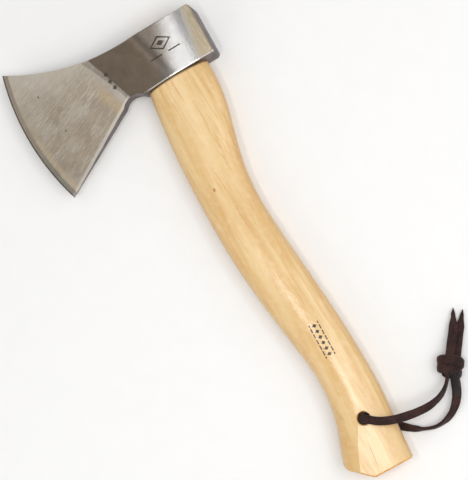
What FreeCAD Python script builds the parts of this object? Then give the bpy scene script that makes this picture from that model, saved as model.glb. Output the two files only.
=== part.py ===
"""Carving hatchet: a forged steel head on a curved hickory handle with a leather lanyard.

The hatchet lies flat, as on a bench. Z = 0 is the bench and +Z is up. The origin is on the bench
under the middle of the eye. +Y runs up the eye, away from the grip, and -X points at the bit.
All sizes are in millimetres.
"""
import FreeCAD, Part
import math
import os
from FreeCAD import Vector as V

# ---- head ----
MID_Z = 14.0            # middle plane of the head and handle, half the thickness of the cheeks
HEAD_HALF_HEIGHT = 20.0  # the eye runs from -20 to +20 along Y
POLL_X = 33.0
POLL_TOP_RADIUS = 2.8
POLL_BOTTOM_RADIUS = 3.0
TOP_CURVE_START_X = -15.0
TOE = (-114.1, 48.4)
HEEL = (-109.3, -57.9)
BEARD_END = (-44.8, -20.8)   # where the straight back edge of the beard meets the notch
NOTCH_TOP = (-35.2, -16.2)
LUG_CORNER = (-27.0, -HEAD_HALF_HEIGHT)
EDGE_CENTRE = (67.8, 3.3)    # centre of the cutting edge's arc
EDGE_RADIUS = 187.4
EDGE_APEX = (EDGE_CENTRE[0] - EDGE_RADIUS, EDGE_CENTRE[1])
BEVEL_WIDTH = 4.2            # ground cutting bevel
BEVEL_HALF = 1.0             # half thickness of the blade where the bevel ends
BLADE_SLOPE = 0.068          # half thickness gained per mm away from the bevel
BLADE_BACK = 90.0            # the blade's wedge ends this far from the edge, inside the cheeks
CHEEK_FLAT = (-2.0, 16.0)    # flat land beside the eye, at full thickness
CHEEK_ROUND = (10.0, 6.0)    # length of the easing from the land to the front and back slopes
CHEEK_SLOPE = (0.225, 0.06)  # half thickness lost per mm, towards the bit and towards the poll
CHEEK_FRONT_END = -75.0      # buried in the blade
CHEEK_TURN = 17.0            # the front slope's level lines lean from Y, in degrees
HEAD_EDGE_BREAK = 0.8
RIM_ZONE = (-40.0, 5.0)       # the broken edges start right of this X; the poll's depth along X
RIM_OFF_MIDDLE = 5.0         # and lie at least this far from the middle plane
RIM_SHORTEST = 3.0           # shorter edges, round the corners, stay as they are
FAR = 200.0                  # a distance past every face of the part, for cutting tools

# ---- eye, tongue and wedges ----
EYE_HALF_BOTTOM = (22.6, 9.0)   # half length along X, half thickness along Z
EYE_HALF_TOP = (23.4, 9.9)
EYE_END_RUN = 4.0               # length along X of the small arc at each end of the eye
EYE_END_SHARE = 0.52            # of the half thickness, where the side arcs meet the end arcs
TONGUE_TOP = 19.7
TONGUE_OVERLAP = 0.5            # how far the tongue starts inside the grip
SHOULDER_Y = -20.3
KERF_HALF = 0.6
KERF_BOTTOM = -13.0
WEDGE_TIP = -8.0
WEDGE_HALF_TOP = 2.3
RING_TOP = 19.8                 # just proud of the tongue, so the ring shows at the top of the eye
RING_TIP = 6.5
RING_OUTER_TOP = 6.6
RING_OUTER_TIP = 5.7
RING_INNER = 5.1
RING_TIP_WALL = 0.3

# ---- handle ----
# (y, belly edge x, back edge x, half thickness) from the shoulder to past the end
STATIONS = [
    (SHOULDER_Y, -24.2, 24.0, 11.0),
    (-34.0, -26.3, 24.0, 11.4),
    (-48.0, -27.8, 22.8, 11.5),
    (-64.0, -29.2, 19.5, 11.5),
    (-84.0, -30.3, 14.4, 11.4),
    (-106.0, -30.8, 10.4, 11.3),
    (-130.0, -30.7, 9.4, 11.2),
    (-156.0, -29.7, 11.2, 11.1),
    (-182.0, -27.3, 13.7, 11.0),
    (-208.0, -23.8, 16.2, 10.9),
    (-232.0, -20.0, 18.2, 10.9),
    (-254.0, -17.2, 19.3, 10.9),
    (-274.0, -17.5, 19.8, 11.0),
    (-290.0, -20.2, 19.3, 11.3),
    (-304.0, -24.7, 18.0, 11.7),
    (-318.0, -29.6, 17.0, 12.3),
    (-332.0, -34.0, 16.2, 12.8),
    (-346.0, -38.0, 15.6, 13.2),
]
SECTION_POWER = 2.15         # 2 is an ellipse; more is fuller
SECTION_POINTS = 28
BLANK_HALF = 11.5            # the swell keeps the flat sides of the sawn blank
END_Y = -337.6
SHOULDER_BREAK = 1.2
FOOT_CORNER = (-29.6, -318.5)
FOOT_CORNER_MID = (-28.6, -323.2)
FOOT_STEP = 8.0              # the belly keeps its own curve from this far above the corner
FOOT_CHAMFER_START = (-25.2, -326.6)
FOOT_CHAMFER_END = (-13.0, END_Y)
END_BREAK = 1.1

# ---- lanyard ----
HOLE = (-0.3, -298.0)
HOLE_RADIUS = 4.75
HOLE_BREAK = 0.7
THONG_WIDTH = 5.8
THONG_THICK = 2.0
EXIT_ANGLE = -40.0           # way the thong leaves the hole, degrees from +X
# Points that each half of the thong follows, from the middle of the hole to inside the knot.
FRONT_ROUTE = [
    (-1.9, -296.8, 14.0),
    (-1.9, -296.8, 23.2),
    (1.5, -299.7, 27.3),
    (8.2, -305.1, 27.2),
    (18.2, -309.3, 26.2),
    (31.0, -311.9, 23.4),
    (43.5, -312.6, 18.8),
    (53.5, -310.0, 13.6),
    (60.8, -304.2, 10.0),
    (65.6, -297.0, 8.2),
]
BACK_ROUTE = [
    (-1.9, -296.8, 14.0),
    (-1.9, -296.8, 5.5),
    (1.3, -299.5, 1.15),
    (8.0, -305.6, 1.15),
    (16.5, -314.4, 1.2),
    (26.5, -322.4, 2.0),
    (38.0, -327.4, 3.6),
    (49.5, -326.2, 5.2),
    (58.8, -320.0, 6.4),
    (65.0, -310.6, 6.8),
    (68.0, -300.6, 6.6),
]
ARC_SHARE = 0.45             # of the shorter run beside each point, given to its arc
KNOT_CENTRE = (68.2, -294.3, 6.9)
KNOT_AXIS_ANGLE = 56.0       # way the tails leave the knot, degrees from +X
KNOT_HALF = (8.4, 9.8, 6.8)  # along the axis, across it, and up
TAIL_THICK = 2.0
# Outline of each tail: distance along its run, half width
TAIL_SHAPE = [(0.0, 2.6), (8.0, 3.1), (18.0, 3.1), (27.0, 1.7), (33.0, 0.4)]
FRONT_TAIL = ((71.4, -288.4, 8.0), (89.6, -260.0, 1.9))    # root and tip
BACK_TAIL = ((75.7, -291.3, 5.6), (95.3, -264.7, 1.1))

# ---- marks struck into the upper cheek ----
MARK_DEPTH = 0.35
EMBLEM_CENTRE = (2.0, 5.0)
EMBLEM_HALF = (8.5, 5.6)     # lozenge, along X and Y
EMBLEM_STROKE = 0.75
EMBLEM_CORE = (3.0, 2.0)
BAR_HALF = (4.6, 0.45)
BAR_DROP = 8.2               # below the lozenge's middle
BAR_SPREAD = 7.4
PUNCH_HALF = 1.9
PUNCH_PLACES = [(-44.8, 7.2), (-44.4, 1.4), (-43.4, -4.2)]


def wire(edges):
    """One closed or open wire from edges in order."""
    return Part.Wire(Part.__sortEdges__(edges))


def line(a, b):
    return Part.LineSegment(a, b).toShape()


def arc(a, middle, b):
    return Part.Arc(a, middle, b).toShape()


def round_corner(centre, radius, angle_a, angle_b):
    """A quarter-turn arc in the XY plane, as its start, middle and end."""
    def at(angle):
        turn = math.radians(angle)
        return V(centre[0] + radius * math.cos(turn), centre[1] + radius * math.sin(turn), 0)
    return at(angle_a), at((angle_a + angle_b) / 2), at(angle_b)


def tangent_arc_middle(start, end, centre_x):
    """The middle of the arc that leaves start level and climbs to end."""
    rise = end[1] - start[1]
    run = end[0] - start[0]
    radius = (run * run + rise * rise) / (2 * rise)
    half = math.asin(abs(run) / radius) / 2
    return V(centre_x - radius * math.sin(half), start[1] + radius * (1 - math.cos(half)), 0)


# ---- head ----
def head_outline():
    """The head seen from above: poll, top, toe, cutting edge, heel, beard and notch."""
    h = HEAD_HALF_HEIGHT
    low = round_corner((POLL_X - POLL_BOTTOM_RADIUS, POLL_BOTTOM_RADIUS - h), POLL_BOTTOM_RADIUS, -90, 0)
    high = round_corner((POLL_X - POLL_TOP_RADIUS, h - POLL_TOP_RADIUS), POLL_TOP_RADIUS, 0, 90)
    top_start = V(TOP_CURVE_START_X, h, 0)
    toe, heel = V(*TOE, 0), V(*HEEL, 0)
    beard, lug = V(*BEARD_END, 0), V(*LUG_CORNER, 0)
    return wire([
        arc(*low),
        line(low[2], high[0]),
        arc(*high),
        line(high[2], top_start),
        arc(top_start, tangent_arc_middle((TOP_CURVE_START_X, h), TOE, TOP_CURVE_START_X), toe),
        arc(toe, V(*EDGE_APEX, 0), heel),
        line(heel, beard),
        arc(beard, V(*NOTCH_TOP, 0), lug),
        line(lug, low[0]),
    ])


def slope_profile(land_x, toward, far_x, ease, slope):
    """Half of a cheek profile in XZ: flat land, a tangent easing arc, then a straight slope."""
    ease_end = land_x + toward * ease
    drop = slope * ease / 2
    middle = V(land_x + toward * ease / 2, 0, MID_Z - drop / 4)
    far_half = MID_Z - drop - slope * abs(far_x - ease_end)
    inner_x = land_x - toward * FAR
    return [
        line(V(inner_x, 0, MID_Z), V(land_x, 0, MID_Z)),
        arc(V(land_x, 0, MID_Z), middle, V(ease_end, 0, MID_Z - drop)),
        line(V(ease_end, 0, MID_Z - drop), V(far_x, 0, far_half)),
        line(V(far_x, 0, far_half), V(far_x, 0, 0)),
        line(V(far_x, 0, 0), V(inner_x, 0, 0)),
        line(V(inner_x, 0, 0), V(inner_x, 0, MID_Z)),
    ]


def slope_slab(land_x, toward, far_x, ease, slope):
    """Symmetric slab that is full thickness at the land and thins beyond it."""
    reach = 90.0
    half = Part.Face(wire(slope_profile(land_x, toward, far_x, ease, slope)))
    half.translate(V(0, -reach, 0))
    upper = half.extrude(V(0, 2 * reach, 0))
    slab = upper.fuse(upper.mirror(V(0, 0, 0), V(0, 0, 1))).removeSplitter()
    return slab.translated(V(0, 0, MID_Z))


def cheek_body():
    """Poll and eye: a land beside the eye, a slope to the poll, and a leaning slope to the bit."""
    front = slope_slab(CHEEK_FLAT[0], -1, CHEEK_FRONT_END, CHEEK_ROUND[0], CHEEK_SLOPE[0])
    back = slope_slab(CHEEK_FLAT[1], 1, POLL_X + 1, CHEEK_ROUND[1], CHEEK_SLOPE[1])
    front.rotate(V(CHEEK_FLAT[0], 0, 0), V(0, 0, 1), CHEEK_TURN)
    return front.common(back)


def blade_body():
    """Bit: a wedge turned about the cutting edge's centre, so the bevel follows the edge."""
    def at(from_edge, half):
        return V(EDGE_RADIUS - from_edge, 0, half)

    back_half = BEVEL_HALF + BLADE_SLOPE * (BLADE_BACK - BEVEL_WIDTH)
    corners = [
        at(0, 0), at(BEVEL_WIDTH, BEVEL_HALF), at(BLADE_BACK, back_half),
        at(BLADE_BACK, -back_half), at(BEVEL_WIDTH, -BEVEL_HALF), at(0, 0),
    ]
    start_angle, sweep = 150.0, 60.0
    ring = Part.Face(Part.makePolygon(corners)).revolve(V(0, 0, 0), V(0, 0, 1), sweep)
    ring.rotate(V(0, 0, 0), V(0, 0, 1), start_angle)
    ring.translate(V(EDGE_CENTRE[0], EDGE_CENTRE[1], MID_Z))
    return ring


def oval(half, y):
    """Pointed oval of the eye at height y: two long side arcs and two small end arcs."""
    long_half, thick_half = half
    end_half = thick_half * EYE_END_SHARE
    side_x = long_half - EYE_END_RUN
    return wire([
        arc(V(side_x, y, MID_Z + end_half), V(0, y, MID_Z + thick_half), V(-side_x, y, MID_Z + end_half)),
        arc(V(-side_x, y, MID_Z + end_half), V(-long_half, y, MID_Z), V(-side_x, y, MID_Z - end_half)),
        arc(V(-side_x, y, MID_Z - end_half), V(0, y, MID_Z - thick_half), V(side_x, y, MID_Z - end_half)),
        arc(V(side_x, y, MID_Z - end_half), V(long_half, y, MID_Z), V(side_x, y, MID_Z + end_half)),
    ])


def eye_half(y):
    share = (y + HEAD_HALF_HEIGHT) / (2 * HEAD_HALF_HEIGHT)
    return tuple(low + share * (high - low) for low, high in zip(EYE_HALF_BOTTOM, EYE_HALF_TOP))


def eye_solid(y_low, y_high):
    """The tapered space inside the eye, between two heights."""
    return Part.makeLoft([oval(eye_half(y_low), y_low), oval(eye_half(y_high), y_high)], True, True)


def lozenge(centre, half):
    x, y = centre
    a, b = half
    points = [V(x + a, y, 0), V(x, y + b, 0), V(x - a, y, 0), V(x, y - b, 0), V(x + a, y, 0)]
    return Part.Face(Part.makePolygon(points))


def bar(centre, half):
    x, y = centre
    return Part.makePlane(2 * half[0], 2 * half[1], V(x - half[0], y - half[1], 0))


def mark_faces():
    """Plain struck marks: a lozenge ring with a core, two bars, and three punched diamonds."""
    x, y = EMBLEM_CENTRE
    inner = tuple(size - EMBLEM_STROKE * 1.5 for size in EMBLEM_HALF)
    faces = [lozenge(EMBLEM_CENTRE, EMBLEM_HALF).cut(lozenge(EMBLEM_CENTRE, inner))]
    faces.append(lozenge(EMBLEM_CENTRE, EMBLEM_CORE))
    faces += [bar((x + side * BAR_SPREAD, y - BAR_DROP), BAR_HALF) for side in (-1, 1)]
    faces += [lozenge(place, (PUNCH_HALF, PUNCH_HALF)) for place in PUNCH_PLACES]
    return faces


def strike(head):
    """Sinks the marks into the upper cheek, to one depth below its own surface."""
    lowered = head.translated(V(0, 0, -MARK_DEPTH))
    for face in mark_faces():
        column = face.extrude(V(0, 0, MID_Z))
        column.translate(V(0, 0, MID_Z + MARK_DEPTH))
        head = head.cut(column.common(head).cut(lowered))
    return head


def break_edges(shape, picked, size):
    """Chamfers the picked edges."""
    done = shape.makeChamfer(size, picked)
    if not done.isValid():
        raise RuntimeError("the chamfered shape isn't valid")
    return done


def outer_cheek_edges(head):
    """Long edges between the cheeks and the poll, the top and the underside."""
    picked = []
    for edge in head.Edges:
        middle = edge.valueAt((edge.FirstParameter + edge.LastParameter) / 2)
        level = edge.BoundBox.ZLength < RIM_OFF_MIDDLE and abs(middle.z - MID_Z) > RIM_OFF_MIDDLE
        on_rim = abs(middle.y) > HEAD_HALF_HEIGHT - 0.1 or middle.x > POLL_X - RIM_ZONE[1]
        if level and on_rim and middle.x > RIM_ZONE[0] and edge.Length > RIM_SHORTEST:
            picked.append(edge)
    return picked


def make_head():
    outline = Part.Face(head_outline()).extrude(V(0, 0, 2 * MID_Z))
    head = cheek_body().fuse(blade_body()).common(outline).removeSplitter()
    head = break_edges(head, outer_cheek_edges(head), HEAD_EDGE_BREAK)
    past = 1.0
    head = head.cut(eye_solid(-HEAD_HALF_HEIGHT - past, HEAD_HALF_HEIGHT + past))
    return strike(head)


# ---- handle and wedges ----
def section(y, belly, back, half_thick):
    """Closed smooth oval across the handle at height y."""
    middle = (belly + back) / 2
    half_wide = (back - belly) / 2
    points = []
    for i in range(SECTION_POINTS):
        turn = 2 * math.pi * i / SECTION_POINTS
        c, s = math.cos(turn), math.sin(turn)
        along = math.copysign(abs(c) ** (2 / SECTION_POWER), c)
        up = math.copysign(abs(s) ** (2 / SECTION_POWER), s)
        points.append(V(middle + half_wide * along, y, MID_Z + half_thick * up))
    curve = Part.BSplineCurve()
    curve.interpolate(points, PeriodicFlag=True)
    return Part.Wire(curve.toShape())


def foot_prism():
    """The handle's outline from above, which cuts its end square with a slanted, rounded belly corner."""
    far_left, far_right, top = -FAR, FAR, FAR
    corner, middle = V(*FOOT_CORNER, 0), V(*FOOT_CORNER_MID, 0)
    slope_start, slope_end = V(*FOOT_CHAMFER_START, 0), V(*FOOT_CHAMFER_END, 0)
    step = FOOT_CORNER[1] + FOOT_STEP
    outline = wire([
        line(V(far_left, top, 0), V(far_left, step, 0)),
        line(V(far_left, step, 0), V(FOOT_CORNER[0], step, 0)),
        line(V(FOOT_CORNER[0], step, 0), corner),
        arc(corner, middle, slope_start),
        line(slope_start, slope_end),
        line(slope_end, V(far_right, END_Y, 0)),
        line(V(far_right, END_Y, 0), V(far_right, top, 0)),
        line(V(far_right, top, 0), V(far_left, top, 0)),
    ])
    return Part.Face(outline).extrude(V(0, 0, 4 * MID_Z)).translated(V(0, 0, -MID_Z))


def grip_body():
    """Curved oval grip with the blank's flats on its swell."""
    loft = Part.makeLoft([section(*station) for station in STATIONS], True, False)
    slab = Part.makeBox(2 * FAR, 4 * FAR, 2 * BLANK_HALF, V(-FAR, -3 * FAR, MID_Z - BLANK_HALF))
    return loft.common(slab).common(foot_prism())


def end_rim(grip):
    """The edges round the sawn end of the handle and round its slanted corner."""
    near = 0.2
    picked = []
    for edge in grip.Edges:
        box = edge.BoundBox
        on_end = box.YMax < END_Y + near
        on_slant = box.YMax < FOOT_CHAMFER_START[1] + near and box.XMax < FOOT_CHAMFER_END[0] + near
        if on_end or (on_slant and abs(box.Center.z - MID_Z) > near):
            picked.append(edge)
    return picked


def shoulder_rim(grip):
    return [edge for edge in grip.Edges if edge.BoundBox.YMin > SHOULDER_Y - 0.01]


def lanyard_hole():
    """Drill with a countersink at each face of the handle."""
    reach = BLANK_HALF + 2.0
    drill = Part.makeCylinder(HOLE_RADIUS, 2 * reach, V(*HOLE, MID_Z - reach))
    for side in (-1, 1):
        mouth = V(*HOLE, MID_Z + side * (BLANK_HALF - 2 * HOLE_BREAK))
        sink = Part.makeCone(HOLE_RADIUS - HOLE_BREAK, HOLE_RADIUS + 2 * HOLE_BREAK,
                             3 * HOLE_BREAK, mouth, V(0, 0, side))
        drill = drill.fuse(sink)
    return drill


def kerf():
    """Saw cut down the tongue, opened to a taper by the wedge."""
    points = [
        (KERF_HALF, KERF_BOTTOM), (KERF_HALF, WEDGE_TIP), (WEDGE_HALF_TOP, TONGUE_TOP + 1),
        (-WEDGE_HALF_TOP, TONGUE_TOP + 1), (-KERF_HALF, WEDGE_TIP), (-KERF_HALF, KERF_BOTTOM),
        (KERF_HALF, KERF_BOTTOM),
    ]
    face = Part.Face(Part.makePolygon([V(-FAR, y, MID_Z + z) for z, y in points]))
    return face.extrude(V(2 * FAR, 0, 0))


def make_ring():
    """Tapered steel ring driven into the top of the tongue, over the wooden wedge."""
    profile = Part.makePolygon([
        V(RING_INNER, RING_TOP, MID_Z), V(RING_OUTER_TOP, RING_TOP, MID_Z),
        V(RING_OUTER_TIP, RING_TIP, MID_Z), V(RING_OUTER_TIP - RING_TIP_WALL, RING_TIP, MID_Z),
        V(RING_INNER, RING_TOP, MID_Z),
    ])
    return Part.Face(profile).revolve(V(0, 0, MID_Z), V(0, 1, 0), 360)


def make_handle(ring):
    grip = grip_body()
    grip = break_edges(grip, end_rim(grip), END_BREAK)
    grip = break_edges(grip, shoulder_rim(grip), SHOULDER_BREAK)
    tongue = eye_solid(SHOULDER_Y - TONGUE_OVERLAP, TONGUE_TOP)
    return grip.fuse(tongue).cut(kerf()).cut(ring).cut(lanyard_hole())


def make_wedge(ring):
    """Hardwood wedge that fills the kerf down to its tip."""
    below = Part.makeBox(2 * FAR, FAR, 2 * FAR, V(-FAR, WEDGE_TIP - FAR, -FAR))
    return kerf().common(eye_solid(WEDGE_TIP, TONGUE_TOP)).cut(below).cut(ring)


# ---- lanyard ----
def rounded_path(points):
    """Straight runs joined by tangent arcs. Returns the wire, its length and its smallest radius."""
    edges, here, length, smallest = [], points[0], 0.0, 999.0
    for before, corner, after in zip(points, points[1:], points[2:]):
        into, away = corner - before, after - corner
        turn = into.getAngle(away)
        cut = ARC_SHARE * min(into.Length, away.Length)
        radius = cut / math.tan(turn / 2)
        into.normalize()
        away.normalize()
        start, end = corner - into * cut, corner + away * cut
        inwards = away - into
        inwards.normalize()
        middle = corner + inwards * (radius / math.cos(turn / 2) - radius)
        edges += [line(here, start), arc(start, middle, end)]
        length += (start - here).Length + radius * turn
        smallest = min(smallest, radius)
        here = end
    edges.append(line(here, points[-1]))
    return Part.Wire(edges), length + (points[-1] - here).Length, smallest


def thong_half(route, name):
    """Flat leather lace along a route that starts upright in the hole."""
    path, length, smallest = rounded_path([V(*point) for point in route])
    turn = math.radians(EXIT_ANGLE)
    out = V(math.cos(turn), math.sin(turn), 0) * (THONG_THICK / 2)
    side = V(-math.sin(turn), math.cos(turn), 0) * (THONG_WIDTH / 2)
    start = V(*route[0])
    profile = Part.makePolygon([start + out + side, start - out + side, start - out - side,
                                start + out - side, start + out + side])
    solid = path.makePipeShell([profile], True, False)
    expected = THONG_WIDTH * THONG_THICK * length
    print(f"{name}: length {length:.1f}, smallest radius {smallest:.1f}, "
          f"volume {solid.Volume / expected:.3f} of section x length")
    return solid


def make_knot():
    """Outer shape of the overhand knot."""
    knot = Part.makeSphere(1.0)
    matrix = FreeCAD.Matrix()
    matrix.scale(V(*KNOT_HALF))
    knot = knot.transformGeometry(matrix)
    knot.rotate(V(0, 0, 0), V(0, 0, 1), KNOT_AXIS_ANGLE)
    return knot.translated(V(*KNOT_CENTRE))


def make_tail(ends):
    """Flat pointed end of the thong, sloping down from the knot to the bench."""
    root, tip = V(*ends[0]), V(*ends[1])
    run = tip - root
    scale = run.Length / TAIL_SHAPE[-1][0]
    run.normalize()
    across = V(0, 0, 1).cross(run)
    across.normalize()
    up = run.cross(across)

    def at(along, half, side):
        return root + run * (along * scale) + across * (side * half)

    right = [at(along, half, -1) for along, half in TAIL_SHAPE]
    left = [at(along, half, 1) for along, half in reversed(TAIL_SHAPE)]
    face = Part.Face(Part.makePolygon(right + left + right[:1]))
    return face.translated(up * (-TAIL_THICK / 2)).extrude(up * TAIL_THICK)


def save(shape, name):
    if not shape.isValid() or not shape.Solids:
        raise RuntimeError(f"{name} isn't a valid solid")
    solids = shape.Solids
    kept = solids[0] if len(solids) == 1 else Part.makeCompound(solids)
    kept.exportStep(f"parts/{name}.step")
    box = kept.optimalBoundingBox(False, False)
    print(f"{name}: {len(solids)} solid, {kept.Volume / 1000:.2f} cm3, x {box.XMin:.1f}..{box.XMax:.1f} "
          f"y {box.YMin:.1f}..{box.YMax:.1f} z {box.ZMin:.2f}..{box.ZMax:.2f}")


def main():
    os.makedirs("parts", exist_ok=True)
    ring = make_ring()
    save(make_head(), "axe_head")
    save(make_handle(ring), "handle")
    save(make_wedge(ring), "wooden_wedge")
    save(ring, "steel_ring_wedge")
    save(thong_half(FRONT_ROUTE, "front half"), "thong_front_strand")
    save(thong_half(BACK_ROUTE, "back half"), "thong_back_strand")
    save(make_knot(), "thong_knot")
    save(make_tail(FRONT_TAIL), "thong_front_tail")
    save(make_tail(BACK_TAIL), "thong_back_tail")


main()
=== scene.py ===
"""Carving hatchet lying on a pale floor: forged head, hickory handle, leather lanyard.

Everything is in metres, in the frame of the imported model: +Z up, +Y up the eye, -X towards the bit.
"""
import math

import bmesh
import bpy
from mathutils import Matrix, Vector, noise


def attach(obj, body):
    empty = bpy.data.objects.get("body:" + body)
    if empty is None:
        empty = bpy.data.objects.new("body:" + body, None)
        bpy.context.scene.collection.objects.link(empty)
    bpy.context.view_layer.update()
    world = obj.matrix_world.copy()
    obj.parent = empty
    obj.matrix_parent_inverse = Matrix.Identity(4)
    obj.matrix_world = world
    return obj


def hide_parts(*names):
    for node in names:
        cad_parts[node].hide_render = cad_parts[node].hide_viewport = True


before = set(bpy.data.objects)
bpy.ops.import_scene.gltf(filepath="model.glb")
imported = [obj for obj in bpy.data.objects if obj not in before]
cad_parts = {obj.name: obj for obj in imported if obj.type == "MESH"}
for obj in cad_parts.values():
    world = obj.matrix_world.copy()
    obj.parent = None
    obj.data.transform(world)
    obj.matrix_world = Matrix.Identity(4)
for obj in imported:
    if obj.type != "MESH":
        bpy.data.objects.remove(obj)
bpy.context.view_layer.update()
LANYARD = "lanyard"                               # the body that the hinge turns
MM = 0.001
NOISE_SEED = 1
noise.seed_set(NOISE_SEED)                        # unset, mathutils takes its noise's seed from the clock

# ---- camera: seen from above, a little from the poll's side and from the grip ----
CAMERA_TARGET = Vector((-0.0216, -0.1431, 0.0140))
CAMERA_DISTANCE = 1.3
CAMERA_BACK = Vector((0.1468, -0.1468, 0.9782))   # from the target towards the camera
CAMERA_TURN = math.radians(29.0)                  # the picture's upright leans this far from +Y
CAMERA_LENS = 137.0
CAMERA_SENSOR = 36.0
CAMERA_CLIP = (0.05, 20.0)

# ---- lanyard ----
THONG_WIDTH = 5.8 * MM
THONG_THICK = 2.1 * MM
THONG_FACING = math.radians(-40.0)                # way the flat of the thong faces in the hole
# Points that each half of the thong follows, from the middle of the hole to inside the knot, in mm.
FRONT_ROUTE = [
    (-1.9, -296.8, 14.0),
    (-1.9, -296.8, 23.2),
    (1.5, -299.7, 27.3),
    (8.2, -305.1, 27.2),
    (18.2, -309.3, 26.2),
    (31.0, -311.9, 23.4),
    (43.5, -312.6, 18.8),
    (53.5, -310.0, 13.6),
    (60.8, -304.2, 10.0),
    (65.6, -297.0, 8.2),
]
BACK_ROUTE = [
    (-1.9, -296.8, 14.0),
    (-1.9, -296.8, 5.5),
    (1.3, -299.5, 1.25),
    (8.0, -305.6, 1.25),
    (16.5, -314.4, 1.3),
    (26.5, -322.4, 3.0),
    (38.0, -327.4, 4.3),
    (49.5, -326.2, 5.2),
    (58.8, -320.0, 6.4),
    (65.0, -310.6, 6.8),
    (68.0, -300.6, 6.6),
]
# Twist along each half: share of its length, degrees that the flat has turned, share of full width
FRONT_TWIST = [(0.0, 0, 1.0), (0.45, 0, 1.05), (0.62, 18, 1.0), (0.76, 42, 0.95), (0.9, 58, 0.9),
               (1.0, 50, 0.9)]
BACK_TWIST = [(0.0, 0, 1.0), (0.33, 0, 1.0), (0.43, 40, 0.98), (0.51, 84, 0.9), (0.61, 82, 0.9),
              (0.72, 52, 0.95), (0.83, 16, 1.08), (0.92, 0, 1.2), (1.0, 0, 1.1)]
# Points along each tail, in mm, and the width of both: share of the length, mm
FRONT_TAIL = [(71.2, -288.6, 8.2), (76.2, -282.2, 7.4), (82.0, -274.1, 5.6), (86.3, -267.0, 3.6),
              (89.4, -260.2, 2.4)]
BACK_TAIL = [(75.3, -291.5, 5.8), (79.4, -284.9, 4.9), (85.0, -277.2, 3.2), (90.4, -270.3, 1.9),
             (94.8, -264.6, 1.6)]
TAIL_WIDTHS = [(0.0, 6.0), (0.3, 6.5), (0.62, 6.1), (0.86, 3.1), (1.0, 0.6)]
TAIL_THIN_FROM = 0.8                              # share of the length after which a tail thins
TAIL_TIP_THICK = 0.45                             # share of the thickness left at its tip
TAIL_CUP = 0.18 * MM
TAIL_RIPPLE = 0.16 * MM
LACE_RIPPLE = 0.10 * MM
RIPPLES_PER_METRE = 260
KNOT_CENTRE = Vector((68.2, -294.3, 6.9)) * MM
KNOT_AXIS = math.radians(56.0)                    # way that the tails leave it, from +X towards +Y
# The knot's wraps: turns at both ends, places along the knot at both ends, reach across and up,
# lean, arch. All but the turns are in mm.
KNOT_WRAPS = [((0.42, 1.62), (0.6, 2.6), (8.0, 4.8), 0.5, 2.3),
              ((0.62, 1.72), (-4.9, -2.8), (6.9, 4.4), -0.9, 1.9)]
WRAP_WIDTH = 6.2 * MM
WRAP_THICK = 2.9 * MM
WRAP_CUP = 0.55 * MM
WRAP_RIPPLE = 0.34 * MM
CORE_HALF = Vector((7.0, 6.9, 4.6)) * MM          # along the tails, across, up
CORE_LUMPS = 0.5 * MM
LUMPS_PER_METRE = 230

# ---- head, as in the CAD ----
EDGE_CENTRE = (0.0678, 0.0033, 0.014)             # centre of the cutting edge's arc
EDGE_RADIUS = 0.1874
BEARD_LINE = (-0.1093, -0.0579)                   # a point on the beard's straight back edge
BEARD_NORMAL = (-0.499, 0.867)                    # from that edge into the blade
CREASE_SLOPE = 0.3735                             # the crease between blade and cheek is the line
CREASE_X = -0.0428                                # x = CREASE_X - CREASE_SLOPE * y
# Struck marks in the upper cheek, in mm: centres and half sizes
EMBLEM_CENTRE = (2.0, 5.0)
EMBLEM_HALF = (8.5, 5.6)
EMBLEM_INNER_HALF = (7.375, 4.475)
EMBLEM_CORE = (3.0, 2.0)
BAR_SPREAD = 7.4                                  # of the bars' middles, from the emblem's
BAR_DROP = 8.2
BAR_HALF_LONG = (4.8, 4.5)                        # where a bar's dark oxide ends, and where it is full
BAR_HALF_WIDE = (0.62, 0.42)
PUNCH_HALF = (1.9, 1.9)
PUNCH_PLACES = [(-44.8, 7.2), (-44.4, 1.4), (-43.4, -4.2)]

# ---- places that only the materials know ----
POLL_SLOPE = 0.144                                # lean of the line where the poll's duller zone starts
PAINTED_BAND_SLOPE = 0.252                              # lean of the cheek's band of painted highlight, and of the painted shade beside it
# Pits in the blade: centre, stretch of each axis, radius where they fade out and where they are full
PITS = [((-0.0910, -0.0121, 0.018), (1, 1, 0.1), 0.0008, 0.0004),
        ((-0.0974, 0.0198, 0.017), (1, 0.6, 0.1), 0.0008, 0.0003)]
PIN_KNOT = (-0.0152, -0.1068, 0.024)
PITH = (0.052, -0.075)                            # X and Z of the growth rings' centre
RINGS_PER_METRE = 235.0
CRACK_TOP = (-0.0060, -0.3174)                    # a point on the drying crack
CRACK_SLOPE = 0.107
PRINT_CENTRE = (0.0006, -0.2365)
PRINT_PITCH = 0.0044
PRINT_HALF_LONG = 0.0132
PRINT_RULE_OFF = 0.0034
WORN_STRAND = (0.0672, -0.3085, 0.008)            # smooth, shiny stretch of the back strand

# ---- floor and light ----
FLOOR_HALF = 3.0
FLOOR_DROP = 0.0001                               # keeps the floor from touching the lower cheek
WORLD_COLOUR = (1.0, 0.985, 0.97, 1)
WORLD_STRENGTH = 0.33
HEAD_AIM = (0.012, 0.0, 0.028)
GRIP_AIM = (0.0, -0.16, 0.02)
SWELL_AIM = (0.002, -0.27, 0.0255)
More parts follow.
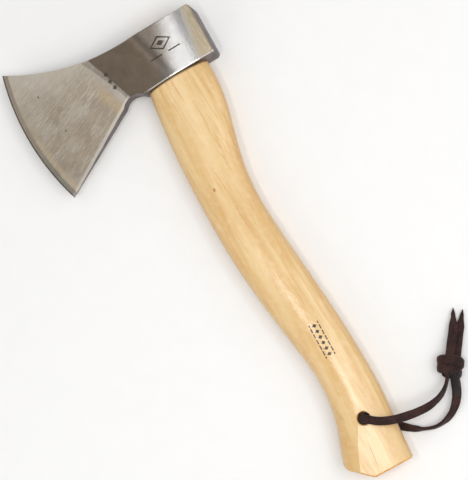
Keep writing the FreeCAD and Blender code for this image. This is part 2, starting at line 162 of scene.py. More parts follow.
# Softboxes: name, aim, direction, distance, size, radiance, turn of the long side from +Y in degrees
SOFTBOXES = [
    ("land_strip", HEAD_AIM, (-0.133, 0.263, 0.956), 1.3, (0.12, 0.5), 3.0, -12),
    ("blade_panel", HEAD_AIM, (-0.33, 0.28, 0.90), 1.3, (0.36, 0.7), 0.45, 0),
    ("low_front", HEAD_AIM, (-0.13, -0.96, 0.27), 1.3, (0.5, 0.16), 3.0, 0),
    ("crown_strip", SWELL_AIM, (-0.138, 0.05, 0.99), 1.3, (0.12, 0.36), 15.0, 0),
    ("front", GRIP_AIM, (0.30, -0.25, 0.92), 1.8, (1.2, 1.2), 3.15, 0),
    ("right", GRIP_AIM, (0.75, -0.15, 0.62), 1.3, (0.9, 0.9), 1.1, 0),
    ("left", GRIP_AIM, (-0.80, -0.30, 0.52), 1.3, (0.8, 0.8), 1.3, 0),
]


def mm(points):
    """Points given in millimetres, as vectors in metres."""
    return [Vector(point) * MM for point in points]


# ---- camera ----
def add_camera():
    """The photo's view, from above."""
    camera = bpy.data.objects.new("camera", bpy.data.cameras.new("camera"))
    bpy.context.scene.collection.objects.link(camera)
    back = CAMERA_BACK.normalized()
    upright = Vector((math.sin(CAMERA_TURN), math.cos(CAMERA_TURN), 0))
    right = upright.cross(back).normalized()
    up = back.cross(right)
    turn = Matrix((right, up, back)).transposed().to_4x4()
    camera.matrix_world = Matrix.Translation(CAMERA_TARGET + CAMERA_DISTANCE * back) @ turn
    camera.data.lens = CAMERA_LENS
    camera.data.sensor_width = CAMERA_SENSOR
    camera.data.clip_start, camera.data.clip_end = CAMERA_CLIP
    bpy.context.scene.camera = camera


# ---- ribbons of leather ----
def route_line(points, steps=14):
    """Points along the smooth spline that has these points as its control points."""
    data = bpy.data.curves.new("route", "CURVE")
    data.dimensions = "3D"
    data.resolution_u = steps
    spline = data.splines.new("NURBS")
    spline.points.add(len(points) - 1)
    for place, point in zip(spline.points, points):
        place.co = (*point, 1)
    spline.order_u = 3
    spline.use_endpoint_u = True
    holder = bpy.data.objects.new("route", data)
    bpy.context.scene.collection.objects.link(holder)
    bpy.context.view_layer.update()
    mesh = bpy.data.meshes.new_from_object(holder)
    line = [vertex.co.copy() for vertex in mesh.vertices]
    bpy.data.objects.remove(holder)
    bpy.data.meshes.remove(mesh)
    return line


def shares(line):
    """Share of the whole length at each point of a line."""
    lengths = [0.0]
    for a, b in zip(line, line[1:]):
        lengths.append(lengths[-1] + (b - a).length)
    return [length / lengths[-1] for length in lengths]


def from_keys(keys, share, column):
    """Smoothly interpolated value of one column of a key list."""
    for low, high in zip(keys, keys[1:]):
        if share <= high[0]:
            step = (share - low[0]) / (high[0] - low[0])
            eased = step * step * (3 - 2 * step)
            return low[column] + (high[column] - low[column]) * eased
    return keys[-1][column]


def tangents(line):
    """Direction of the line at each of its points."""
    before = [line[0], *line[:-1]]
    after = [*line[1:], line[-1]]
    return [(b - a).normalized() for a, b in zip(before, after)]


def carried_normals(line, start):
    """A normal at each point that turns as little as it can along the line."""
    directions = tangents(line)
    normal = (start - start.dot(directions[0]) * directions[0]).normalized()
    normals = [normal]
    for before, after in zip(directions, directions[1:]):
        normal = before.rotation_difference(after) @ normal
        normal = (normal - normal.dot(after) * after).normalized()
        normals.append(normal)
    return normals


def lace_section(width, thick, cup):
    """Outline of a flat lace across its run: rounded edges, a little cupped. Pairs of (across, up)."""
    half_wide, half_thick = width / 2, thick / 2
    soft = min(half_thick * 0.8, half_wide * 0.45)
    outline = []
    for side_x, side_y, first in ((1, 1, 0), (-1, 1, 90), (-1, -1, 180), (1, -1, 270)):
        for step in (0, 30, 60, 90):
            turn = math.radians(first + step)
            outline.append((side_x * (half_wide - soft) + soft * math.cos(turn),
                            side_y * (half_thick - soft) + soft * math.sin(turn)))
        if side_x * side_y < 0:
            continue
        for share in (0.5, 0.0, -0.5):
            outline.append((side_x * share * (half_wide - soft), side_y * half_thick))
    return [(x, y + cup * (1 - (x / half_wide) ** 2)) for x, y in outline]


def lace(name, line, normals, widths, thicks, seed, cup=0.0, ripple=LACE_RIPPLE):
    """A flat lace along a line, with a normal out of its flat, a width and a thickness per point."""
    build = bmesh.new()
    rings = []
    for place, ahead, normal, wide, thick in zip(line, tangents(line), normals, widths, thicks):
        across = ahead.cross(normal).normalized()
        up = across.cross(ahead).normalized()
        ring = []
        for x, y in lace_section(wide, thick, cup):
            point = place + across * x + up * y
            wave = noise.noise_vector(point * RIPPLES_PER_METRE + Vector((seed, seed, seed))) * ripple
            ring.append(build.verts.new(point + wave))
        rings.append(ring)
    count = len(rings[0])
    for low, high in zip(rings, rings[1:]):
        for i in range(count):
            j = (i + 1) % count
            build.faces.new((low[i], low[j], high[j], high[i]))
    build.faces.new(rings[0])
    build.faces.new(list(reversed(rings[-1])))
    bmesh.ops.recalc_face_normals(build, faces=build.faces)
    return finish_mesh(name, build)


def finish_mesh(name, build):
    """A smooth-shaded object from a bmesh, which is freed."""
    mesh = bpy.data.meshes.new(name)
    build.to_mesh(mesh)
    build.free()
    mesh.polygons.foreach_set("use_smooth", [True] * len(mesh.polygons))
    piece = bpy.data.objects.new(name, mesh)
    bpy.context.scene.collection.objects.link(piece)
    return piece


def add_strand(name, node, route, keys, seed):
    """One half of the thong, from the middle of the hole to inside the knot."""
    line = route_line(mm(route))
    facing = Vector((math.cos(THONG_FACING), math.sin(THONG_FACING), 0))
    normals = []
    widths = []
    for share, normal, ahead in zip(shares(line), carried_normals(line, facing), tangents(line)):
        turn = Matrix.Rotation(math.radians(from_keys(keys, share, 1)), 3, ahead)
        normals.append(turn @ normal)
        widths.append(THONG_WIDTH * from_keys(keys, share, 2))
    piece = lace(name, line, normals, widths, [THONG_THICK] * len(line), seed)
    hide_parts(node)
    return piece, line


def add_tail(name, node, route, seed, roll):
    """A pointed end of the thong, flat and slightly cupped."""
    line = route_line(mm(route))
    widths = [from_keys(TAIL_WIDTHS, share, 1) * MM for share in shares(line)]
    thicks = [THONG_THICK * tail_thickness(share) for share in shares(line)]
    leaning = Matrix.Rotation(roll, 3, (line[-1] - line[0]).normalized()) @ Vector((0, 0, 1))
    piece = lace(name, line, carried_normals(line, leaning), widths, thicks, seed,
                 cup=TAIL_CUP, ripple=TAIL_RIPPLE)
    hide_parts(node)
    return piece


def tail_thickness(share):
    """Share of the full thickness at this share of a tail's length."""
    if share < TAIL_THIN_FROM:
        return 1.0
    return 1.0 - (1.0 - TAIL_TIP_THICK) * (share - TAIL_THIN_FROM) / (1.0 - TAIL_THIN_FROM)


def knot_frame():
    """The knot's own directions: along the tails, across, and up."""
    along = Vector((math.cos(KNOT_AXIS), math.sin(KNOT_AXIS), 0))
    across = Vector((math.sin(KNOT_AXIS), -math.cos(KNOT_AXIS), 0))
    return along, across, Vector((0, 0, 1))


def wrap_line(turns, place, reach, lean, arch, steps=64):
    """Centreline and outward normals of one wrap of the lace round the knot."""
    along, across, up = knot_frame()
    line, normals = [], []
    for i in range(steps + 1):
        share = i / steps
        turn = 2 * math.pi * (turns[0] + (turns[1] - turns[0]) * share)
        tuck = math.sin(math.pi * min(1.0, share * 5, (1 - share) * 5) / 2)
        wide, high = (size * MM * (0.55 + 0.45 * tuck) for size in reach)
        low, top = place
        shift = low + (top - low) * share + lean * math.cos(turn - 0.6) + arch * math.sin(turn)
        line.append(KNOT_CENTRE + along * (shift * MM) + across * (wide * math.cos(turn))
                    + up * (high * math.sin(turn)))
        normals.append((across * (math.cos(turn) / wide) + up * (math.sin(turn) / high)).normalized())
    return line, normals


def add_knot():
    """Overhand knot: the lace wraps twice round a core made by the strands inside."""
    parts = []
    for index, wrap in enumerate(KNOT_WRAPS):
        line, normals = wrap_line(*wrap)
        count = len(line)
        parts.append(lace(f"wrap_{index}", line, normals, [WRAP_WIDTH] * count, [WRAP_THICK] * count,
                          seed=3.0 + index, cup=WRAP_CUP, ripple=WRAP_RIPPLE))
    parts.append(knot_core())
    knot = join("lanyard_knot", parts)
    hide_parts("thong_knot")
    return knot


def knot_core():
    """The leather inside the knot, a lumpy rounded mass behind the wraps."""
    along, across, up = knot_frame()
    build = bmesh.new()
    bmesh.ops.create_icosphere(build, subdivisions=4, radius=1.0)
    for vertex in build.verts:
        co = vertex.co
        point = (KNOT_CENTRE + along * (co.x * CORE_HALF.x) + across * (co.y * CORE_HALF.y)
                 + up * (co.z * CORE_HALF.z))
        vertex.co = point + noise.noise_vector(point * LUMPS_PER_METRE) * CORE_LUMPS
    return finish_mesh("knot_core", build)


def join(name, parts):
    """Several meshes as one object."""
    build = bmesh.new()
    for part in parts:
        build.from_mesh(part.data)
        bpy.data.objects.remove(part)
    return finish_mesh(name, build)


# ---- materials ----
def srgb(red, green, blue):
    """A colour given as 0 to 255 in sRGB, as linear RGBA."""
    linear = []
    for value in (red, green, blue):
        share = value / 255
        linear.append(share / 12.92 if share <= 0.04045 else ((share + 0.055) / 1.055) ** 2.4)
    return (*linear, 1.0)


def grey(value):
    """A linear grey as RGBA."""
    return (value, value, value, 1)


class Graph:
    """Short way to write one material's nodes. Sockets take another node's output or a constant."""

    COLOUR_A, COLOUR_B, COLOUR_RESULT = 6, 7, 2   # a mix node has a socket of each name per data type

    def __init__(self, name, **settings):
        self.material = bpy.data.materials.new(name)
        self.material.use_nodes = True
        self.nodes = self.material.node_tree.nodes
        self.links = self.material.node_tree.links
        self.shader = self.nodes["Principled BSDF"]
        for socket, value in settings.items():
            self.shader.inputs[socket.replace("_", " ")].default_value = value
        self.place = self.add("ShaderNodeTexCoord").outputs["Object"]

    def add(self, kind, **settings):
        node = self.nodes.new(kind)
        for name, value in settings.items():
            setattr(node, name, value)
        return node

    def feed(self, socket, value):
        if isinstance(value, bpy.types.NodeSocket):
            self.links.new(value, socket)
        else:
            socket.default_value = value

    def math(self, operation, a, b=0.0):
        node = self.add("ShaderNodeMath", operation=operation)
        self.feed(node.inputs[0], a)
        self.feed(node.inputs[1], b)
        return node.outputs[0]

    def less(self, a, b):
        return self.math("SUBTRACT", a, b)

    def size(self, value):
        return self.math("ABSOLUTE", value)

    def chain(self, operation, values):
        result = values[0]
        for value in values[1:]:
            result = self.math(operation, result, value)
        return result

    def total(self, *values):
        return self.chain("ADD", values)

    def product(self, *values):
        return self.chain("MULTIPLY", values)

    def most(self, *values):
        return self.chain("MAXIMUM", values)

    def split(self, vector):
        node = self.add("ShaderNodeSeparateXYZ")
        self.feed(node.inputs[0], vector)
        return node.outputs

    def stretch(self, scale, turn=0.0):
        """The place, turned about Z by -turn degrees and then scaled."""
        turned = self.add("ShaderNodeVectorRotate", rotation_type="Z_AXIS")
        self.feed(turned.inputs["Vector"], self.place)
        turned.inputs["Angle"].default_value = math.radians(-turn)
        scaled = self.add("ShaderNodeVectorMath", operation="MULTIPLY")
        self.feed(scaled.inputs[0], turned.outputs[0])
        scaled.inputs[1].default_value = scale
        return scaled.outputs[0]

    def noise(self, vector, detail=3.0, rough=0.55, warp=0.0):
        """Noise that the vector alone scales."""
        node = self.add("ShaderNodeTexNoise")
        self.feed(node.inputs["Vector"], vector)
        settings = {"Scale": 1.0, "Detail": detail, "Roughness": rough, "Distortion": warp}
        for name, value in settings.items():
            node.inputs[name].default_value = value
        return node.outputs["Fac"]

    def ease(self, value, low, high, to_low=0.0, to_high=1.0):
        """Smooth step from to_low, at low, to to_high, at high."""
        node = self.add("ShaderNodeMapRange", interpolation_type="SMOOTHSTEP")
        self.feed(node.inputs["Value"], value)
        settings = {"From Min": low, "From Max": high, "To Min": to_low, "To Max": to_high}
        for name, number in settings.items():
            node.inputs[name].default_value = number
        return node.outputs["Result"]

    def blend(self, share, a, b):
        """Colour a, or b where share is 1."""
        node = self.add("ShaderNodeMix", data_type="RGBA")
        self.feed(node.inputs["Factor"], share)
        self.feed(node.inputs[self.COLOUR_A], a)
        self.feed(node.inputs[self.COLOUR_B], b)
        return node.outputs[self.COLOUR_RESULT]

    def normal_parts(self):
        return self.split(self.add("ShaderNodeNewGeometry").outputs["Normal"])

    def distance_to(self, point, stretch=(1, 1, 1)):
        """Distance from a point in the frame, with each axis stretched."""
        away = self.add("ShaderNodeVectorMath", operation="SUBTRACT")
        self.feed(away.inputs[0], self.place)
        away.inputs[1].default_value = point
        scaled = self.add("ShaderNodeVectorMath", operation="MULTIPLY")
        self.feed(scaled.inputs[0], away.outputs[0])
        scaled.inputs[1].default_value = stretch
        length = self.add("ShaderNodeVectorMath", operation="LENGTH")
        self.feed(length.inputs[0], scaled.outputs[0])
        return length.outputs["Value"]

    def bump(self, *layers):
        self.bump_into("Normal", *layers)

    def bump_into(self, socket, *layers):
        """Layers of (height, depth in metres), one on another."""
        normal = None
        for height, depth in layers:
            node = self.add("ShaderNodeBump")
            node.inputs["Distance"].default_value = depth
            self.feed(node.inputs["Height"], height)
            if normal:
                self.feed(node.inputs["Normal"], normal)
            normal = node.outputs[0]
        self.feed(self.shader.inputs[socket], normal)


def wood_material():
    """Pale hickory under a clear coat, with a sawn end, a pin knot, a crack and a printed ornament."""
    g = Graph("hickory", Coat_Roughness=0.14, Specular_IOR_Level=0.3)
    x, y, z = g.split(g.place)
    _, normal_y, normal_z = g.normal_parts()
    tone = g.noise(g.stretch((90, 7, 90), turn=-3), detail=4.0, warp=0.5)
    streak = g.noise(g.stretch((420, 17, 420), turn=3), detail=4.0, rough=0.65, warp=0.3)
    fibre = g.noise(g.stretch((1500, 60, 1500)), detail=3.0, rough=0.75)
    colour = wood_figure(g, late_wood(g, x, z), tone, streak, fibre)
    # painted shade: the handle's steep sides, away from its top, are blended towards dark amber
    painted_side_shade = g.ease(g.size(normal_z), 0.86, 0.30, 0.0, 0.75)
    colour = g.blend(painted_side_shade, colour, srgb(206, 160, 98))
    sawn = g.ease(normal_y, -0.30, -0.62)
    pores = g.noise(g.stretch((900, 900, 900)), detail=2.0)
    end_colour = g.blend(g.ease(pores, 0.4, 0.7), srgb(232, 176, 100), srgb(205, 142, 72))
    colour = g.blend(sawn, colour, end_colour)
    pin = g.distance_to(PIN_KNOT, (1.0, 0.62, 0.0))
    colour = g.blend(g.ease(pin, 0.0012, 0.0004, 0.0, 0.85), colour, srgb(172, 92, 48))
    crack = handle_crack(g, x, y, z)
    colour = g.blend(g.product(crack, 0.62), colour, srgb(176, 108, 60))
    ink = handle_ink(g, x, y, z)
    colour = g.blend(g.product(ink, g.ease(fibre, 0.2, 0.55, 0.8, 0.97)), colour, srgb(42, 36, 30))
    coat = g.product(g.ease(ink, 0, 1, 0.8, 0.2), g.ease(sawn, 0, 1, 1.0, 0.3))
    pooled = g.noise(g.stretch((420, 130, 420), turn=12), detail=3.0)
    g.feed(g.shader.inputs["Base Color"], colour)
    g.feed(g.shader.inputs["Roughness"], g.ease(streak, 0.3, 0.8, 0.36, 0.52))
    g.feed(g.shader.inputs["Coat Weight"], coat)
    g.bump_into("Coat Normal", (fibre, 0.00004), (pooled, 0.00014))
    g.bump((fibre, 0.00004), (crack, -0.0002), (tone, 0.0005))
    return g.material


def late_wood(g, x, z):
    """1 in the darker part of each growth ring, with the rings swaying along the handle."""
    drift = g.noise(g.stretch((16, 4.5, 16)), detail=3.0)
    sway = g.product(g.less(drift, 0.5), 0.034)
    ring_x = g.less(g.total(x, sway), PITH[0])
    ring_z = g.less(z, PITH[1])
    radius = g.math("SQRT", g.total(g.product(ring_x, ring_x), g.product(ring_z, ring_z)))
    growth = g.math("FRACT", g.product(radius, RINGS_PER_METRE))
    return g.product(g.ease(growth, 0.30, 0.9), g.ease(growth, 1.0, 0.9))


def wood_figure(g, late, tone, streak, fibre):
    """Colour of the planed wood: broad tones, growth rings, streaks, fibres and cross flecks."""
    patchy = g.noise(g.stretch((48, 13, 48)), detail=2.0)
    cross = g.noise(g.stretch((300, 190, 300), turn=35), detail=2.0)
    rings = g.product(late, g.ease(patchy, 0.40, 0.66, 0.05, 0.5))
    colour = g.blend(g.ease(tone, 0.34, 0.68), srgb(229, 189, 127), srgb(243, 212, 157))
    colour = g.blend(rings, colour, srgb(222, 172, 106))
    colour = g.blend(g.ease(streak, 0.52, 0.72, 0.0, 0.6), colour, srgb(212, 158, 92))
    colour = g.blend(g.ease(fibre, 0.5, 0.85, 0.0, 0.36), colour, srgb(198, 142, 82))
    return g.blend(g.ease(cross, 0.45, 0.75, 0.0, 0.22), colour, srgb(252, 228, 186))


def handle_crack(g, x, y, z):
    """A short drying crack along the grain on the flat of the swell."""
    wander = g.product(g.less(g.noise(g.stretch((0, 160, 0)), detail=3.0), 0.5), 0.0016)
    slope = g.product(g.less(y, CRACK_TOP[1]), CRACK_SLOPE)
    off = g.size(g.less(g.total(x, -CRACK_TOP[0], wander), slope))
    along = g.product(g.ease(y, -0.3345, -0.3290), g.ease(y, -0.3135, -0.3190))
    return g.product(g.ease(off, 0.00030, 0.00008), along, g.ease(z, 0.020, 0.022))


def handle_ink(g, x, y, z):
    """Printed ornament in place of any wording: a row of lozenges between two broken rules."""
    across = g.less(x, PRINT_CENTRE[0])
    along = g.less(y, PRINT_CENTRE[1])
    cells = g.math("DIVIDE", g.total(along, PRINT_HALF_LONG), PRINT_PITCH)
    offset = g.product(g.size(g.less(g.math("FRACT", cells), 0.5)), PRINT_PITCH)
    diamond = g.total(offset, g.product(g.size(across), 0.85))
    lozenges = g.ease(diamond, 0.00165, 0.00135)
    rule_off = g.size(g.less(g.size(across), PRINT_RULE_OFF))
    rules = g.product(g.ease(rule_off, 0.00052, 0.00034), g.ease(offset, 0.0006, 0.0004, 1.0, 0.0))
    inside = g.ease(g.size(along), PRINT_HALF_LONG, PRINT_HALF_LONG - 0.0002)
    return g.product(g.most(lozenges, rules), inside, g.ease(z, 0.017, 0.019))


def steel_material():
    """Forged head: ground blade and bevel, darker cheek with painted shade and a painted highlight band,
    a painted highlight on upper chamfers, brushed poll, scale on what isn't ground.
    """
    g = Graph("ground_steel", Metallic=1.0)
    x, y, z = g.split(g.place)
    normal_x, normal_y, normal_z = g.normal_parts()
    cloud = g.noise(g.stretch((70, 70, 70)), detail=5.0, rough=0.65)
    scratch = g.noise(g.stretch((90, 1450, 300), turn=21), detail=4.0, rough=0.75)
    scratch_fine = g.noise(g.stretch((300, 3200, 400), turn=14), detail=3.0, rough=0.8)
    brushed = g.noise(g.stretch((1900, 160, 600)), detail=4.0, rough=0.8)
    across_crease = g.total(x, g.product(y, CREASE_SLOPE), -CREASE_X)
    ragged = g.product(g.less(cloud, 0.5), 0.003)
    blade = g.ease(g.total(across_crease, ragged), 0.0006, -0.0010)
    poll = g.ease(g.total(x, g.product(y, -POLL_SLOPE), ragged), 0.0205, 0.0285)
    from_edge = g.less(EDGE_RADIUS, g.distance_to(EDGE_CENTRE, (1, 1, 0)))
    bevel = g.ease(from_edge, 0.0045, 0.0039)
    forged = g.ease(g.size(normal_z), 0.72, 0.5)
    marks = g.most(struck_marks(g, x, y, z), pits(g))

    ground = blade_tint(g, y, across_crease, (cloud, scratch, scratch_fine))
    ground = edge_tint(g, y, from_edge, bevel, scratch_fine, ground)
    ground = beard_tint(g, x, y, blade, ground)
    colour = g.blend(blade, cheek_tint(g, x, y, normal_x, cloud, brushed), ground)
    poll_tint = g.blend(g.ease(brushed, 0.32, 0.66), srgb(170, 155, 130), srgb(202, 188, 164))
    colour = g.blend(poll, colour, poll_tint)
    scale_tint = g.blend(g.ease(cloud, 0.35, 0.65), srgb(108, 101, 103), srgb(140, 132, 132))
    colour = g.blend(forged, colour, scale_tint)
    # painted highlight: upper chamfers facing -Y get a near-white tint, on top of the low front softbox's
    # light
    painted_break_highlight = g.product(g.ease(normal_y, -0.35, -0.55), g.ease(normal_y, -0.92, -0.80),
                             g.ease(z, 0.022, 0.024))
    colour = g.blend(painted_break_highlight, colour, srgb(236, 232, 228))
    colour = g.blend(g.product(marks, 0.8), colour, srgb(72, 66, 60))
    g.feed(g.shader.inputs["Base Color"], colour)

    rough = g.blend(blade, grey(0.22), grey(0.38))
    rough = g.blend(poll, rough, grey(0.42))
    rough = g.blend(bevel, rough, grey(0.34))
    rough = g.blend(g.most(forged, marks), rough, grey(0.55))
    grain = g.ease(scratch, 0.3, 0.8, -0.06, 0.10)
    g.feed(g.shader.inputs["Roughness"], g.total(rough, g.product(grain, blade)))
    on_blade = g.product(g.total(scratch, g.product(scratch_fine, 0.6)), blade)
    off_blade = g.product(brushed, g.less(1.0, blade), g.ease(poll, 0, 1, 0.35, 1.0))
    g.bump((g.total(on_blade, off_blade), 0.00006),
           (g.product(cloud, g.ease(forged, 0, 1, 0.1, 1.0)), 0.0004))
    return g.material


def blade_tint(g, y, across_crease, textures):
    """Ground steel of the bit: scratched grey, with a silver strip and a warm band by the crease."""
    cloud, scratch, scratch_fine = textures
    rub = g.noise(g.stretch((30, 75, 60), turn=21), detail=4.0)
    tint = g.blend(g.ease(cloud, 0.34, 0.68), srgb(168, 155, 139), srgb(188, 178, 163))
    tint = g.blend(g.ease(rub, 0.46, 0.70, 0.0, 0.45), tint, srgb(170, 153, 130))
    tint = g.blend(g.ease(scratch, 0.50, 0.66, 0.0, 0.6), tint, srgb(226, 220, 210))
    tint = g.blend(g.ease(scratch_fine, 0.50, 0.72, 0.0, 0.5), tint, srgb(126, 114, 102))
    tint = g.blend(g.ease(y, 0.000, 0.040, 0.0, 0.55), tint, srgb(222, 214, 200))
    tint = g.blend(g.ease(y, 0.010, -0.045, 0.0, 0.35), tint, srgb(146, 132, 114))
    silver = g.product(g.ease(across_crease, -0.0115, -0.0035), g.ease(y, 0.022, -0.014, 0.1, 0.35))
    tint = g.blend(silver, tint, srgb(196, 192, 186))
    warm = g.product(g.ease(across_crease, -0.0190, -0.0130), g.ease(across_crease, -0.0060, -0.0115),
                     g.ease(y, 0.012, -0.010), g.ease(rub, 0.3, 0.55, 0.2, 0.5))
    return g.blend(warm, tint, srgb(200, 178, 138))


def edge_tint(g, y, from_edge, bevel, scratch_fine, tint):
    """The tint with a warm rim before the bevel, the bevel, and a dark line at the cutting edge."""
    warm_rim = g.product(g.ease(from_edge, 0.0042, 0.0056), g.ease(from_edge, 0.0105, 0.0062),
                         g.ease(y, 0.030, -0.020))
    tint = g.blend(g.product(warm_rim, 0.4), tint, srgb(206, 186, 150))
    low_bevel = g.ease(y, 0.012, -0.040)
    bevel_tint = g.blend(low_bevel, srgb(214, 198, 178), srgb(180, 174, 160))
    bevel_tint = g.blend(g.ease(scratch_fine, 0.45, 0.75, 0.0, 0.5), bevel_tint, srgb(150, 140, 128))
    tint = g.blend(g.product(bevel, 0.9), tint, bevel_tint)
    return g.blend(g.ease(from_edge, 0.0013, 0.0006, 0.0, 0.85), tint, srgb(84, 72, 68))


def beard_tint(g, x, y, blade, tint):
    """The tint with a light strip along the beard's back edge."""
    into_blade = g.total(g.product(g.less(x, BEARD_LINE[0]), BEARD_NORMAL[0]),
                         g.product(g.less(y, BEARD_LINE[1]), BEARD_NORMAL[1]))
    strip = g.product(g.ease(into_blade, 0.0030, 0.0017), blade)
    return g.blend(g.product(strip, 0.4), tint, srgb(238, 234, 228))


def cheek_tint(g, x, y, normal_x, cloud, brushed):
    """Cheek: dark painted shade on the slope in front of the eye, and a bright band beside it that the
    land strip lights, given a paler, neutral painted highlight tint.
    """
    painted_band_across = g.total(x, g.product(y, -PAINTED_BAND_SLOPE), g.product(g.less(brushed, 0.5), 0.006))
    cheek = g.blend(g.ease(cloud, 0.3, 0.7), srgb(152, 135, 118), srgb(168, 151, 134))
    # painted highlight: the tint turns neutral grey as it nears the lit band
    cheek = g.blend(g.ease(painted_band_across, -0.009, -0.001), cheek, srgb(150, 145, 140))
    # painted shade: the slope's facets in front of the band are darkened
    painted_slope_shade = g.product(g.ease(normal_x, -0.19, -0.08), g.ease(painted_band_across, 0.0075, -0.0060))
    cheek = g.blend(painted_slope_shade, cheek, srgb(106, 97, 89))
    # painted highlight: a paler, neutral tint across the band
    cheek = g.blend(g.ease(painted_band_across, 0.0005, 0.0125), cheek, srgb(190, 189, 188))
    return g.blend(g.ease(brushed, 0.5, 0.8, 0.0, 0.4), cheek, srgb(136, 126, 116))


def off_centre(g, x, y, centre):
    """Distances from a centre given in mm, along X and along Y."""
    return g.size(g.less(x, centre[0] * MM)), g.size(g.less(y, centre[1] * MM))


def lozenge_size(g, x, y, centre, half):
    """1 on the outline of a lozenge with these half sizes in mm, less inside it."""
    off_x, off_y = off_centre(g, x, y, centre)
    return g.total(g.math("DIVIDE", off_x, half[0] * MM), g.math("DIVIDE", off_y, half[1] * MM))


def struck_marks(g, x, y, z):
    """Dark oxide in the marks that are sunk into the upper cheek."""
    outer = lozenge_size(g, x, y, EMBLEM_CENTRE, EMBLEM_HALF)
    inner = lozenge_size(g, x, y, EMBLEM_CENTRE, EMBLEM_INNER_HALF)
    core = lozenge_size(g, x, y, EMBLEM_CENTRE, EMBLEM_CORE)
    ring = g.product(g.ease(outer, 1.05, 0.98), g.ease(inner, 0.93, 1.0))
    found = g.most(ring, g.ease(core, 1.12, 0.95))
    for side in (-1, 1):
        middle = (EMBLEM_CENTRE[0] + side * BAR_SPREAD, EMBLEM_CENTRE[1] - BAR_DROP)
        off_x, off_y = off_centre(g, x, y, middle)
        long_share = g.ease(off_x, BAR_HALF_LONG[0] * MM, BAR_HALF_LONG[1] * MM)
        wide_share = g.ease(off_y, BAR_HALF_WIDE[0] * MM, BAR_HALF_WIDE[1] * MM)
        found = g.most(found, g.product(long_share, wide_share))
    for place in PUNCH_PLACES:
        punch = lozenge_size(g, x, y, place, PUNCH_HALF)
        found = g.most(found, g.ease(punch, 1.12, 0.92))
    return g.product(found, g.ease(z, 0.0135, 0.0145))


def pits(g):
    """Small forging pits in the upper side of the blade."""
    found = [g.ease(g.distance_to(centre, stretch), rim, full) for centre, stretch, rim, full in PITS]
    return g.most(*found)


def wedge_wood_material():
    """Darker, open-grained wood of the wedge in the kerf."""
    g = Graph("wedge_wood", Roughness=0.62)
    grain = g.noise(g.stretch((1400, 60, 1400)), detail=3.0)
    tone = g.noise(g.stretch((200, 12, 200)), detail=3.0)
    colour = g.blend(g.ease(tone, 0.3, 0.7), srgb(158, 108, 62), srgb(190, 140, 88))
    colour = g.blend(g.ease(grain, 0.5, 0.8, 0, 0.5), colour, srgb(112, 70, 38))
    g.feed(g.shader.inputs["Base Color"], colour)
    g.bump((grain, 0.0001))
    return g.material


def wedge_steel_material():
    """Dull turned steel of the ring wedge."""
    g = Graph("turned_steel", Metallic=1.0)
    lines = g.noise(g.stretch((900, 9000, 900)), detail=2.0)
    cloud = g.noise(g.stretch((300, 300, 300)), detail=4.0)
    colour = g.blend(g.ease(cloud, 0.35, 0.7), srgb(132, 128, 124), srgb(168, 164, 160))
    g.feed(g.shader.inputs["Base Color"], colour)
    g.feed(g.shader.inputs["Roughness"], g.ease(cloud, 0.3, 0.7, 0.32, 0.5))
    g.bump((lines, 0.00002))
    return g.material


def leather_material():
    """Dark brown leather with a nap and creases, worn smooth on one stretch."""
    g = Graph("thong_leather", Specular_IOR_Level=0.22, Sheen_Weight=0.1, Sheen_Roughness=0.5)
    nap = g.noise(g.stretch((1500, 1500, 1500)), detail=3.0, rough=0.7)
    crease = g.noise(g.stretch((420, 420, 420)), detail=4.0, rough=0.6, warp=1.2)
    tone = g.noise(g.stretch((120, 120, 120)), detail=3.0)
    colour = g.blend(g.ease(tone, 0.35, 0.65), srgb(42, 25, 22), srgb(62, 38, 33))
    colour = g.blend(g.ease(nap, 0.5, 0.8, 0, 0.55), colour, srgb(86, 57, 48))
    colour = g.blend(g.ease(crease, 0.38, 0.5, 0.6, 0.0), colour, srgb(24, 16, 15))
    worn = g.ease(g.distance_to(WORN_STRAND, (1, 0.7, 0.6)), 0.0085, 0.004)
    colour = g.blend(g.product(worn, 0.8), colour, srgb(24, 23, 22))
    g.feed(g.shader.inputs["Base Color"], colour)
    g.feed(g.shader.inputs["Roughness"], g.ease(worn, 0, 1, 0.72, 0.34))
    g.bump((nap, 0.00012), (crease, 0.0003))
    return g.material


def paint(piece, material):
    """Give a piece one material in place of any it has."""
    piece.data.materials.clear()
    piece.data.materials.append(material)


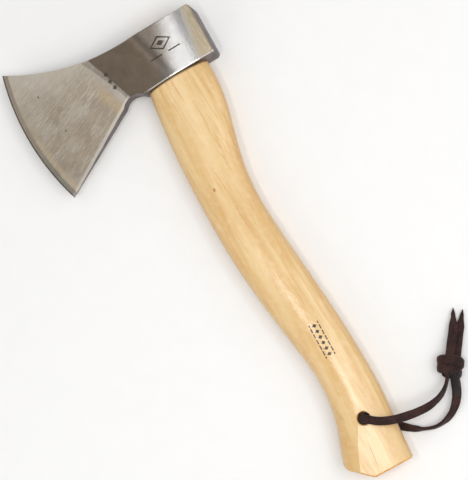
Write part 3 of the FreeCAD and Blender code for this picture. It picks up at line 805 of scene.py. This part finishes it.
# ---- scene ----
def add_floor():
    """Plain pale paper under the hatchet."""
    build = bmesh.new()
    bmesh.ops.create_grid(build, x_segments=1, y_segments=1, size=FLOOR_HALF)
    floor = finish_mesh("floor", build)
    floor.location = (0, 0, -FLOOR_DROP)
    g = Graph("floor_paper", Roughness=0.9, Specular_IOR_Level=0.2)
    fleck = g.noise(g.stretch((60, 60, 60)), detail=2.0)
    g.feed(g.shader.inputs["Base Color"], g.blend(fleck, srgb(248, 248, 247), srgb(252, 252, 252)))
    paint(floor, g.material)


def add_softbox(name, aim, direction, distance, size, radiance, turn):
    """A flat light panel seen from aim in a direction, with its long side turned from +Y."""
    data = bpy.data.lights.new(name, "AREA")
    data.shape = "RECTANGLE"
    data.size, data.size_y = size
    data.energy = radiance * math.pi * size[0] * size[1]
    light = bpy.data.objects.new(name, data)
    bpy.context.scene.collection.objects.link(light)
    back = Vector(direction).normalized()
    upright = Vector((math.sin(math.radians(turn)), math.cos(math.radians(turn)), 0))
    right = upright.cross(back).normalized()
    light.matrix_world = (Matrix.Translation(Vector(aim) + back * distance)
                          @ Matrix((right, back.cross(right), back)).transposed().to_4x4())


def add_lights():
    """Soft studio light: an even surround, and the softboxes."""
    world = bpy.data.worlds.new("studio")
    world.use_nodes = True
    background = world.node_tree.nodes["Background"]
    background.inputs["Color"].default_value = WORLD_COLOUR
    background.inputs["Strength"].default_value = WORLD_STRENGTH
    bpy.context.scene.world = world
    for softbox in SOFTBOXES:
        add_softbox(*softbox)
    bpy.context.scene.view_settings.view_transform = "Standard"


def main():
    """Camera, lanyard, materials of the CAD nodes, floor and light."""
    add_camera()
    leather = leather_material()
    front, front_line = add_strand("lanyard_front", "thong_front_strand", FRONT_ROUTE, FRONT_TWIST,
                                   seed=1.0)
    back, back_line = add_strand("lanyard_back", "thong_back_strand", BACK_ROUTE, BACK_TWIST,
                                 seed=2.0)
    knot = add_knot()
    tails = [add_tail("lanyard_tail_front", "thong_front_tail", FRONT_TAIL, seed=5.0, roll=0.10),
             add_tail("lanyard_tail_back", "thong_back_tail", BACK_TAIL, seed=6.0, roll=-0.12)]
    for piece in (front, back, knot, *tails):
        paint(piece, leather)
        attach(piece, LANYARD)
    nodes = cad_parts
    paint(nodes["axe_head"], steel_material())
    paint(nodes["handle"], wood_material())
    paint(nodes["wooden_wedge"], wedge_wood_material())
    paint(nodes["steel_ring_wedge"], wedge_steel_material())
    add_floor()
    add_lights()


main()
